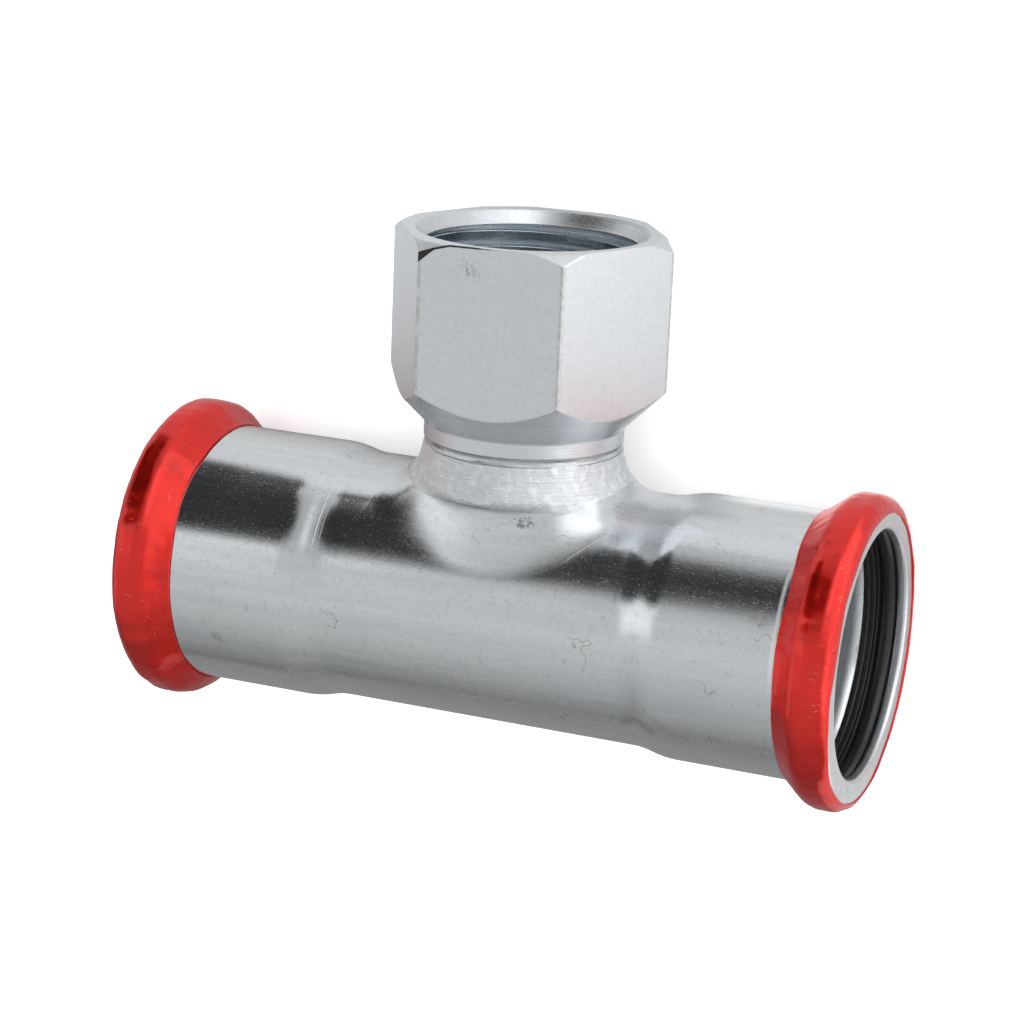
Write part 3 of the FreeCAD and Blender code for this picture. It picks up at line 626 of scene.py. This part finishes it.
def swept_thread(values):
    """The points and faces that the tree makes, with the branch along Z."""
    tree, names = thread_tree()
    carrier = bpy.data.objects.new("thread_carrier", bpy.data.meshes.new("thread_carrier"))
    bpy.context.scene.collection.objects.link(carrier)
    modifier = carrier.modifiers.new("turns", "NODES")
    modifier.node_group = tree
    for name, value in values.items():
        modifier[names[name]] = value
    bpy.context.view_layer.update()
    evaluated = carrier.evaluated_get(bpy.context.evaluated_depsgraph_get())
    made = bpy.data.meshes.new_from_object(evaluated)
    points = np.array([tuple(vertex.co) for vertex in made.vertices])
    faces = [tuple(polygon.vertices) for polygon in made.polygons]
    carrier.modifiers.remove(modifier)
    bpy.data.objects.remove(carrier)
    return points, faces


thread_places, thread_faces = swept_thread({
    "Root radius": THREAD_MAJOR - 0.62, "Pitch": THREAD_PITCH,
    "Turns": (THREAD_STOP - THREAD_START - 1.2) / THREAD_PITCH,
    "Depth": 1.5, "Crest width": 1.0, "Root width": 2.26, "Rounding": 0.14, "Run out": 0.05,
    "Finish": bar.material})
thread_places += (BRANCH_X, 0, THREAD_START + 0.9)
thread_turns = piece("thread_turns", thread_places, thread_faces)
thread_turns.data.materials.append(bar.material)
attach(thread_turns, "root")


# Weld seam. The ring of weld metal between collar and neck, drawn in below both, with the
# fine ripples that the torch left, dressed with a brush and plated over.

seam_rows = []
for turn in turns:
    ripple = 0.05 * noise.noise(Vector((math.cos(turn) * 9, math.sin(turn) * 9, 1.3)))
    profile = joined(
        line((12.62, 23.42), (14.38, 23.38), 2),
        np.array([(14.34, 23.52), (14.24 + ripple, 23.72), (14.18 + ripple, 23.98),
                  (14.22 + ripple, 24.2), (14.38, 24.4)]),
        line((14.48, 24.52), (12.62, 24.5), 2))
    radius, height = profile.T
    seam_rows.append(np.stack([
        BRANCH_X + radius * math.cos(turn), radius * math.sin(turn), height], -1))
seam_points = np.array(seam_rows)
seam_index = np.arange(seam_points[..., 0].size).reshape(seam_points.shape[:2])
weld_seam = piece("weld_seam_ring", seam_points.reshape(-1, 3), quads(seam_index, True, True))
weld = Finish("plated_weld", Metallic=1.0)
ripples = weld.place.grain(1.6, 3.0, 0.6)
weld.set("Base Color", ripples.blend((0.52, 0.54, 0.555), (0.68, 0.70, 0.71)))
weld.set("Roughness", 0.30 + (ripples - 0.5) * 0.2)
weld.set("Normal", ripples.bump(0.5, 0.1 * MM))
weld_seam.data.materials.append(weld.material)
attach(weld_seam, "root")
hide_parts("weld_seam")


# Indicator films. Thin red plastic sleeves, shrunk with heat over the two beads: their rear
# edges lie on the socket, their front edges lap onto the face, and both wander a little.

FILM, FILM_AROUND, TAUT_TO, INNERMOST = 0.2, 400, 130, 18.45
CLEAR, THIN_EDGE, THINNING, CREASED_FROM = 0.015, 0.03, 0.12, 1.2
front_path = joined(
    arc(SHOULDER_AT, CROWN - SHOULDER, SHOULDER, TAUT_TO, 90, 16),
    line((SHOULDER_AT, CROWN), (LIP_AT, CROWN), 6),
    arc(LIP_AT, face_edge, LIP, 90, 0, 24),
    line((MOUTH, face_edge), (MOUTH, INNERMOST), 12))
REAR_PLACES = ((-180, 46.5), (-60, 46.6), (-30, 46.5), (0, 46.4), (20, 46.45), (38, 46.65), (50, 46.5),
               (62, 46.05), (75, 45.9), (90, 45.95), (130, 46.3), (180, 46.5))
LAP_PLACES = ((-180, 20.2), (-120, 20.2), (-80, 20.9), (-56, 21.3), (-36, 21.3), (-17, 21.0), (0, 20.7),
              (10, 20.1), (20, 19.8), (36, 20.3), (50, 20.0), (62, 20.1), (90, 20.0), (118, 20.2),
              (180, 20.2))


def taut_path(rear):
    """The film's underside in (along, out): taut up to the crown, then round the bead."""
    share = np.linspace(0, 1, 25)[:, None]
    edge = np.array([rear, SOCKET + 0.02])
    bend = np.array([max(46.6, rear + 0.15), SOCKET + 0.12])
    taut = edge * (1 - share) ** 2 + bend * 2 * share * (1 - share) + front_path[0] * share ** 2
    return joined(taut, front_path)


def film_edges(turn, side):
    """Where the film's rear edge lies along the run, and how much of the face it leaves bare."""
    up = (math.degrees(turn) + 270) % 360 - 180
    rear = np.interp(up, *zip(*REAR_PLACES))
    lap = np.interp(up, *zip(*LAP_PLACES))
    wander = noise.noise(Vector((math.cos(turn) * 2.2, math.sin(turn) * 2.2, 4.0 * side)))
    ragged = noise.noise(Vector((math.cos(turn) * 9, math.sin(turn) * 9, 4.0 * side)))
    if lap > face_edge:
        bare = face_edge - INNERMOST + LIP * math.asin(min((lap - face_edge) / LIP, 1.0))
    else:
        bare = lap - INNERMOST
    return rear + 0.2 * wander + 0.05 * ragged, max(bare + 0.25 * wander + 0.08 * ragged, 0.05)


def film_creases(way, turn, side):
    """How far the film is drawn in or puckered out at one spot, in millimetres."""
    place = Vector((math.cos(turn) * 6, math.sin(turn) * 6, way * 0.14 + side * 7.0))
    pucker = noise.noise(place * 0.9) + 0.45 * noise.noise(place * 2.3)
    fold = abs(noise.noise(Vector((place.x * 0.9, place.y * 0.9, way * 0.10 + side * 3))))
    sharp = max(1 - fold / 0.10, 0) * (0.5 + noise.noise(place * 0.6))
    return 0.14 * pucker + 0.03 * sharp - 0.04


def film_sleeve(name, side):
    """One sleeve: a thin closed skin, the left one turned end for end."""
    rows = []
    for turn in np.arange(FILM_AROUND) * 2 * math.pi / FILM_AROUND:
        rear, bare = film_edges(turn, side)
        path = taut_path(rear)
        steps = np.linalg.norm(np.diff(path, axis=0), axis=1)
        distance = np.concatenate([[0], np.cumsum(steps)])
        way = np.linspace(0, distance[-1] - bare, 110)
        place = np.stack([np.interp(way, distance, path[:, axis]) for axis in (0, 1)], -1)
        slope = np.gradient(place, way, axis=0)
        out = np.stack([-slope[:, 1], slope[:, 0]], -1)
        out /= np.linalg.norm(out, axis=1, keepdims=True)
        depth = np.array([film_creases(at, turn, side) for at in way + rear])
        edge = np.minimum(way, way[-1] - way)
        rounded = np.sqrt(np.clip(edge / THINNING, 0, 1))
        relief = np.clip(depth, -0.12, 0.05) * np.clip(edge / CREASED_FROM, 0, 1)
        skin = THIN_EDGE + (FILM - THIN_EDGE + relief) * rounded
        profile = np.concatenate([place + out * skin[:, None], (place + out * CLEAR)[::-1]])
        along, out = profile.T
        rows.append(np.stack([side * along, out * math.sin(turn), out * math.cos(turn)], -1))
    points = np.array(rows)
    index = np.arange(points[..., 0].size).reshape(points.shape[:2])
    return piece(name, points.reshape(-1, 3), quads(index, True, True))


film = Finish("red_film", Metallic=0.95, Specular_Tint=(1.0, 0.10, 0.08, 1),
              Coat_Weight=0.8, Coat_Roughness=0.13, Coat_IOR=1.5)
wrinkle = film.place.stretched((0.5, 1.0, 1.0)).grain(0.42, 2.0, 0.4)
scratches = film.place.stretched((0.25, 2.6, 2.6)).grain(1.3, 3.0, 0.6).rise(0.63, 0.70)
scratches = scratches * film.place.grain(0.14, 2.0).rise(0.49, 0.58)
tone = film.place.grain(0.16, 3.0)
film_red = tone.blend((0.60, 0.010, 0.005), (0.88, 0.018, 0.009))
film.set("Base Color", (scratches * 0.6).blend(film_red, (0.80, 0.40, 0.36)))
film.set("Roughness", 0.32 + (wrinkle - 0.5) * 0.25 + scratches * 0.3)
film.set("Normal", wrinkle.bump(0.5, 0.3 * MM))
for name, side in (("indicator_film_left", -1), ("indicator_film_right", 1)):
    sleeve = film_sleeve(name + "_sleeve", side)
    sleeve.data.materials.append(film.material)
    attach(sleeve, "root")
    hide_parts(name)


# Seal rings. Black moulded rubber, pressed into the hollow of each bead: a round bead at
# the mouth, a groove, and a flat lip with a fine crease. The tube's end slides through them.

seal_section = joined(
    arc(52.1, 18.95, 1.3, 0, -180, 18),
    line((50.8, 18.95), (50.8, 18.6), 2),
    arc(50.5, 18.45, 0.3, 0, 180, 6),
    line((50.2, 18.45), (50.2, 17.85), 3),
    arc(50.05, 17.9, 0.15, 0, -90, 3),
    line((50.05, 17.75), (49.5, 17.75), 2),
    np.array([(49.42, 17.84), (49.35, 17.9), (49.28, 17.84)]),
    line((49.2, 17.75), (48.65, 17.75), 2),
    arc(48.65, 17.9, 0.15, -90, -180, 3),
    line((48.5, 17.9), (48.5, 18.25), 1),
    line((49.9, 19.8), (51.4, 20.8), 2),
    line((52.8, 20.8), (53.4, 20.2), 1),
    line((53.4, 20.2), (53.4, 18.95), 2))[:-1]
rubber = Finish("black_rubber", Metallic=0.0, IOR=1.5)
bloom = rubber.place.grain(0.8, 3.0)
dust = rubber.place.grain(7.0, 3.0, 0.7)
rubber.set("Base Color", bloom.blend((0.010, 0.010, 0.011), (0.020, 0.020, 0.021)))
rubber.set("Roughness", 0.30 + (bloom - 0.5) * 0.12 + dust.rise(0.6, 0.8) * 0.2)
rubber.set("Normal", dust.bump(0.12, 0.03 * MM))
for name, side in (("seal_ring_left", -1), ("seal_ring_right", 1)):
    places = np.stack([
        np.repeat(side * seal_section[:, 0], AROUND),
        (seal_section[:, 1:] * np.sin(turns)).ravel(),
        (seal_section[:, 1:] * np.cos(turns)).ravel()], -1)
    index = np.arange(len(places)).reshape(-1, AROUND)
    ring = piece(name + "_ring", places, quads(index, True, True))
    ring.data.materials.append(rubber.material)
    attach(ring, "root")
    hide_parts(name)


# Floor and light. A pale paper floor that carries the tee's shadow, in a studio of soft
# light and dark fields: a dark opening beyond the far side of the table, paler cards round
# it, and one large lamp overhead. What looks past the tee sees plain white.

GROUND = 3.0
floor_mesh = bpy.data.meshes.new("floor")
floor_mesh.from_pydata([
    (-GROUND, -GROUND, 0), (GROUND, -GROUND, 0), (GROUND, GROUND, 0), (-GROUND, GROUND, 0)], [],
    [(0, 1, 2, 3)])
floor = bpy.data.objects.new("floor", floor_mesh)
bpy.context.scene.collection.objects.link(floor)
ground = bpy.data.materials.new("floor_paper")
ground.use_nodes = True
tree = ground.node_tree
ground_shader = tree.nodes["Principled BSDF"]
ground_shader.inputs["Roughness"].default_value = 0.9
ground_shader.inputs["Specular IOR Level"].default_value = 0.0
ground_shader.inputs["Emission Strength"].default_value = 1.0
light_path = tree.nodes.new("ShaderNodeLightPath")
seen = Signal(light_path.outputs["Is Camera Ray"])
mirrored = Signal(light_path.outputs["Is Glossy Ray"])
across, along = Signal(tree.nodes.new("ShaderNodeTexCoord").outputs["Object"]).parts()[:2]


def grey(level):
    """A plain grey of one level."""
    return level, level, level


# Seen only in reflections and bounced light, the floor is painted: a painted shade darker on the side
# away from the branch, where the tee's shadow would lie, paler bands to the right, and a nearly black
# painted field far to the left on the branch side.
falling = along.rise(-0.035, 0.03).blend(grey(0.22), grey(0.58))
falling = across.rise(0.045, 0.058).blend(falling, grey(0.52))
falling = across.rise(0.078, 0.10).blend(falling, grey(0.74))
dark_far = (across + along * 0.25).rise(-0.055, -0.085) * along.rise(0.075, 0.11)
falling = dark_far.blend(falling, grey(0.03))
# Painted light: two patches of the floor glow in reflections only, one to the right on the branch side
# and one round the foot of the branch, though no lamp is there.
right_painted_glow = (across - along * 0.35).rise(0.038, 0.054) * along.rise(0.026, 0.042)
at_foot = across.rise(0.002, 0.010) * across.rise(0.021, 0.013) * along.rise(0.031, 0.022)
beside_neck = across.rise(0.022, 0.030) * across.rise(0.060, 0.048) * along.rise(0.012, 0.004)
near_painted_glow = at_foot.highest(beside_neck) * along.rise(-0.014, -0.003)
glow = seen * 0.40 + (right_painted_glow * 0.6 + near_painted_glow * 0.55) * mirrored
tree.links.new(glow.socket, ground_shader.inputs["Emission Color"])
tree.links.new(seen.blend(falling, grey(0.86)).socket, ground_shader.inputs["Base Color"])
floor_mesh.materials.append(ground)

world = bpy.context.scene.world or bpy.data.worlds.new("studio")
bpy.context.scene.world = world
world.use_nodes = True
sky = world.node_tree
sky.nodes.clear()
heading = Signal(sky.nodes.new("ShaderNodeTexCoord").outputs["Generated"])
east, north, above = heading.parts()
slope = above.bearing(north) * DEGREES
SKY = ((0, 0.68), (10, 0.60), (20, 0.52), (45, 0.52), (55, 0.56), (63, 0.65), (90, 0.70),
       (100, 0.69), (112, 0.64), (125, 0.59), (138, 0.51), (155, 0.40), (165, 0.32), (180, 0.24))
room = slope.node("ShaderNodeValToRGB", {"stops": [(at / 180, level) for at, level in SKY]}, {
    "Fac": slope / 180})
high_left = east.rise(-0.40, -0.56) * slope.rise(46, 56) * slope.rise(95, 75)
low_edge = east.rise(-0.37, -0.43) * slope.rise(45, 50) * slope.rise(66, 59)
far_left = east.rise(-0.84, -0.93)
right_side = (east.rise(0.0, 0.2) * slope.rise(62, 44)).highest(east.rise(0.72, 0.9))
lamp_front = east.rise(0.36, 0.58) * slope.rise(0, 8) * slope.rise(55, 45)
for card, level in ((low_edge, 1.22), (high_left, 1.08), (far_left, 0.85), (right_side, 1.6),
                    (lamp_front, 1.25)):
    room = card.blend(room, grey(level))
scallop = east.near(-0.368, 0.045).highest(east.near(-0.293, 0.026) * 0.8) * slope.rise(30, 45)
opening_side = (east + 0.54 - (slope - 26) * 0.002) / 0.36
opening_up = (slope - 29.5 + scallop * 7.0) / 27.5
opening = (opening_side ** 2 + opening_up ** 2) ** 0.5
low_dark = slope.rise(11, 8) * east.rise(-0.375, -0.40) * east.rise(-0.86, -0.80)
room = opening.rise(1.22, 0.78).highest(low_dark).blend(room, grey(0.035))
past_the_tee = Signal(sky.nodes.new("ShaderNodeLightPath").outputs["Is Camera Ray"])
light_level = past_the_tee.blend(room, grey(1.0))
background = sky.nodes.new("ShaderNodeBackground")
sky.links.new(light_level.socket, background.inputs["Color"])
background.inputs["Strength"].default_value = 1.0
out = sky.nodes.new("ShaderNodeOutputWorld")
sky.links.new(background.outputs[0], out.inputs["Surface"])

KEY_PLACE, KEY_SIZE, KEY_WATTS = Vector((0.2, 0.3, 1.5)), 1.2, 22
key = bpy.data.lights.new("key", "AREA")
key.shape = "RECTANGLE"
key.size, key.size_y = KEY_SIZE, KEY_SIZE
key.energy = KEY_WATTS
key_lamp = bpy.data.objects.new("key", key)
key_lamp.location = KEY_PLACE
key_lamp.rotation_euler = KEY_PLACE.to_track_quat("Z", "Y").to_euler()
key_lamp.visible_glossy = False
bpy.context.scene.collection.objects.link(key_lamp)


# Camera. At the place and with the lens that bring the run, the beads and the hexagon over
# those of the photograph.

FOCAL_PIXELS, FRAME_PIXELS, SENSOR = 2923.53, 1024, 36.0
AZIMUTH, ELEVATION, ROLL = math.radians(22.0777), math.radians(15.5742), math.radians(2.4235)
AWAY, SIDE_SHIFT, UP_SHIFT = 429.733, 0.1015, 12.3832
back = Vector((
    math.sin(AZIMUTH) * math.cos(ELEVATION), -math.cos(AZIMUTH) * math.cos(ELEVATION),
    math.sin(ELEVATION)))
level = Vector((0, 0, 1)).cross(back).normalized()
upright = back.cross(level)
right = level * math.cos(ROLL) + upright * math.sin(ROLL)
up = upright * math.cos(ROLL) - level * math.sin(ROLL)
spot = back * AWAY + right * SIDE_SHIFT + up * UP_SHIFT
origin = Vector(lay([(0, 0, 0)])[0])
axes = [(Vector(lay([tuple(axis)])[0]) - origin).normalized() for axis in (right, up, back)]
place = Vector(lay([tuple(spot)])[0])
camera_data = bpy.data.cameras.new("camera")
camera_data.sensor_width = SENSOR
camera_data.lens = FOCAL_PIXELS * SENSOR / FRAME_PIXELS
camera_data.clip_start, camera_data.clip_end = 0.01, 20
camera = bpy.data.objects.new("camera", camera_data)
camera.matrix_world = Matrix((
    (axes[0].x, axes[1].x, axes[2].x, place.x),
    (axes[0].y, axes[1].y, axes[2].y, place.y),
    (axes[0].z, axes[1].z, axes[2].z, place.z),
    (0, 0, 0, 1)))
bpy.context.scene.collection.objects.link(camera)
bpy.context.scene.camera = camera
bpy.context.scene.view_settings.view_transform = "Standard"
